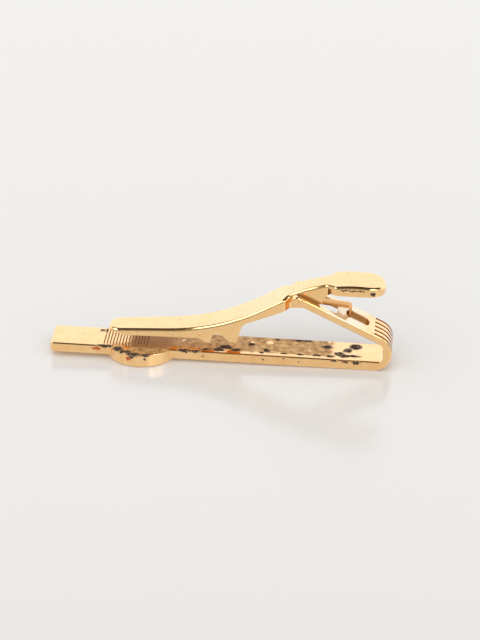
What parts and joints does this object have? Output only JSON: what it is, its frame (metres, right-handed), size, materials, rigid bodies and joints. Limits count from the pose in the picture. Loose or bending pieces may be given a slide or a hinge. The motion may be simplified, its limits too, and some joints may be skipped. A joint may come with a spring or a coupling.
{
  "type": "tie clip",
  "caption": "Tie clip: a flat bar with a round lobe folds back into a forked leg, which carries a sprung, toothed clamp lever on a cross pin.",
  "frame": {"origin": "on the plane of the medallion's rim, the surface the clip lies on with its front down, under the middle of its length and width", "axes": "+X along the bar from its free end to the fold, +Y across the bar, +Z from the front to the clamp lever"},
  "size_m": [0.058, 0.012, 0.0161],
  "materials": {
    "gold_plate": "polished gold plate on brass, tarnished inside",
    "spring_strip": "plated spring bronze strip, satin",
    "pin_metal": "plated brass wire, peened ends"
  },
  "bodies": {
    "front": {"front_bar": "gold_plate", "medallion": "gold_plate", "pivot_pin": "pin_metal", "leaf_spring": "spring_strip"},
    "lever": {"clamp_lever": "gold_plate"}
  },
  "joints": [
    {"name": "lever_pivot", "type": "hinge", "parent": "front", "child": "lever", "pos_m": [0.0136, 0, 0.01251], "axis": [0, 1, 0], "range_deg": [-2.7, 28], "stiffness_Nm_per_rad": 0.06, "deforming": ["leaf_spring"]}
  ]
}
